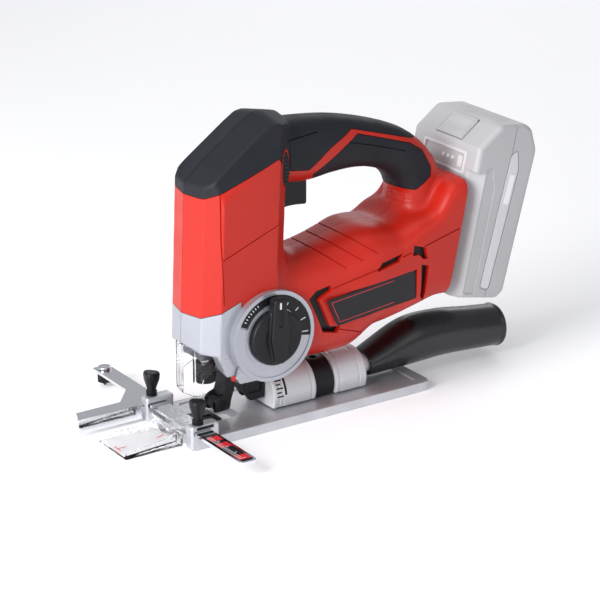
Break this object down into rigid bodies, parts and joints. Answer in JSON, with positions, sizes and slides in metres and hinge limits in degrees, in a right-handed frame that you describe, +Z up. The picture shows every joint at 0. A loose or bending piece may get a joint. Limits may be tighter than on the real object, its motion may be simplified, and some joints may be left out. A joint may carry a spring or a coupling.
{
  "type": "jigsaw power tool",
  "caption": "Cordless top-handle jigsaw on a tilting sole, with selector dial, clear guard, dust tube, parallel guide, front view plate and slide-on battery pack.",
  "frame": {"origin": "centre of the sole's underside, half way along its length and on the tool's plane of symmetry", "axes": "+Z up, -X the way the tool cuts, +X towards the battery, -Y the tool's left side with the selector"},
  "size_m": [0.3202, 0.189, 0.206],
  "materials": {
    "red_shell": "fine satin",
    "soft_grip": "matt",
    "silver_cover": "satin silver",
    "label_black": "gloss",
    "steel": "ground",
    "black_plastic": "moulded",
    "knob_black": "fine moulded",
    "tube_black": "gloss",
    "black_metal": "black oxide",
    "board": "solder mask",
    "alloy": "cast and milled",
    "cradle_grey": "satin",
    "chrome": "polished",
    "bronze": "sintered",
    "copper": "windings",
    "clear_plastic": "clear moulded",
    "red_lever": "satin",
    "pack_grey": "moulded",
    "cell_wrap": "shrink sleeve"
  },
  "bodies": {
    "housing": {"left_housing": "red_shell", "right_housing": "red_shell", "left_top_grip": "soft_grip", "right_top_grip": "soft_grip", "left_palm_grip": "soft_grip", "right_palm_grip": "soft_grip", "left_gear_cover": "silver_cover", "right_gear_cover": "silver_cover", "left_label_plate": "label_black", "right_label_plate": "label_black", "housing_screw_1": "steel", "housing_screw_2": "steel", "housing_screw_3": "steel", "housing_screw_4": "steel", "dial_plate": "silver_cover", "switch_module": "black_plastic", "control_board": "board", "terminal_block": "black_plastic", "motor_can": "alloy", "rear_bearing": "steel", "motor_end_bracket": "black_plastic", "front_bearing": "steel", "bearing_plate": "alloy", "gear_axle": "steel", "gearbox_housing": "alloy", "lower_plunger_bush": "bronze", "upper_plunger_bush": "bronze", "clear_guard": "clear_plastic", "tilt_pin": "steel", "tilt_mount": "black_plastic", "battery_rails": "black_plastic"},
    "selector": {"selector_knob": "knob_black", "cam_shaft": "steel"},
    "trigger": {"trigger": "black_plastic"},
    "lock_button": {"lock_button": "black_plastic"},
    "rotor": {"motor_shaft": "steel", "armature": "copper", "cooling_fan": "black_plastic"},
    "crank_gear": {"crank_gear": "steel"},
    "plunger": {"plunger": "steel", "blade_clamp": "black_metal"},
    "release_lever": {"blade_release_lever": "red_lever"},
    "roller_bracket": {"roller_bracket": "black_metal"},
    "guide_roller": {"guide_roller": "steel"},
    "shoe": {"sole_plate": "alloy", "front_cradle": "cradle_grey", "rear_cradle": "cradle_grey", "cradle_centre": "black_plastic", "tilt_screw": "steel", "splinter_insert": "black_plastic", "view_plate": "clear_plastic"},
    "left_thumb_screw": {"left_thumb_screw": "knob_black"},
    "right_thumb_screw": {"right_thumb_screw": "knob_black"},
    "guide": {"parallel_guide": "chrome", "circle_pin": "knob_black"},
    "dust_tube": {"dust_tube": "tube_black"},
    "battery": {"battery_case": "pack_grey", "battery_cover": "pack_grey", "cell_block": "cell_wrap"},
    "battery_button": {"battery_release_button": "pack_grey"}
  },
  "joints": [
    {"name": "bevel_tilt", "type": "hinge", "parent": "housing", "child": "shoe", "pos_m": [0, 0, 0.014], "axis": [1, 0, 0], "range_deg": [-45, 45]},
    {"name": "trigger_travel", "type": "slide", "parent": "housing", "child": "trigger", "axis": [0, 0, 1], "range_m": [0, 0.006], "stiffness_N_per_m": 900, "springref_m": -0.002},
    {"name": "lock_button_travel", "type": "slide", "parent": "housing", "child": "lock_button", "axis": [0, 1, 0], "range_m": [0, 0.003], "stiffness_N_per_m": 1200, "springref_m": -0.001},
    {"name": "selector_turn", "type": "hinge", "parent": "housing", "child": "selector", "pos_m": [-0.0335, 0, 0.0655], "axis": [0, 1, 0], "range_deg": [-68, 122]},
    {"name": "motor_spin", "type": "hinge", "parent": "housing", "child": "rotor", "pos_m": [0, 0, 0.08], "axis": [0.9781, 0, 0.2079], "continuous": true},
    {"name": "crank_gear_spin", "type": "hinge", "parent": "housing", "child": "crank_gear", "pos_m": [-0.00457, 0, 0.10152], "axis": [0.9781, 0, 0.2079], "continuous": true},
    {"name": "plunger_stroke", "type": "slide", "parent": "housing", "child": "plunger", "axis": [0, 0, 1], "range_m": [-0.01, 0.01]},
    {"name": "release_lever_swing", "type": "hinge", "parent": "housing", "child": "release_lever", "pos_m": [-0.048, -0.013, 0.04], "axis": [0, 0, 1], "range_deg": [0, 40], "stiffness_Nm_per_rad": 0.02, "springref_deg": -5.73},
    {"name": "pendulum_swing", "type": "hinge", "parent": "housing", "child": "roller_bracket", "pos_m": [-0.044, 0, 0.04], "axis": [0, 1, 0], "range_deg": [-2, 3], "stiffness_Nm_per_rad": 0.6},
    {"name": "guide_roller_spin", "type": "hinge", "parent": "roller_bracket", "child": "guide_roller", "pos_m": [-0.0575, 0, 0.0142], "axis": [0, 1, 0], "continuous": true},
    {"name": "left_thumb_screw_turn", "type": "hinge", "parent": "shoe", "child": "left_thumb_screw", "pos_m": [-0.0896, -0.029, 0.02], "axis": [0, 0, 1], "range_deg": [0, 360]},
    {"name": "right_thumb_screw_turn", "type": "hinge", "parent": "shoe", "child": "right_thumb_screw", "pos_m": [-0.0896, 0.029, 0.02], "axis": [0, 0, 1], "range_deg": [0, 360]},
    {"name": "guide_slide", "type": "slide", "parent": "shoe", "child": "guide", "axis": [0, 1, 0], "range_m": [-0.005, 0.1]},
    {"name": "dust_tube_pull", "type": "slide", "parent": "shoe", "child": "dust_tube", "axis": [1, 0, 0], "range_m": [0, 0.06]},
    {"name": "battery_slide", "type": "slide", "parent": "housing", "child": "battery", "axis": [0.2011, 0, 0.9796], "range_m": [0, 0.09]},
    {"name": "battery_button_press", "type": "slide", "parent": "battery", "child": "battery_button", "axis": [0.5934, 0, -0.8049], "range_m": [0, 0.003], "stiffness_N_per_m": 800, "springref_m": -0.001}
  ],
  "couplings": [
    {"joint": "crank_gear_spin", "follows": "motor_spin", "ratio": -0.22222}
  ]
}
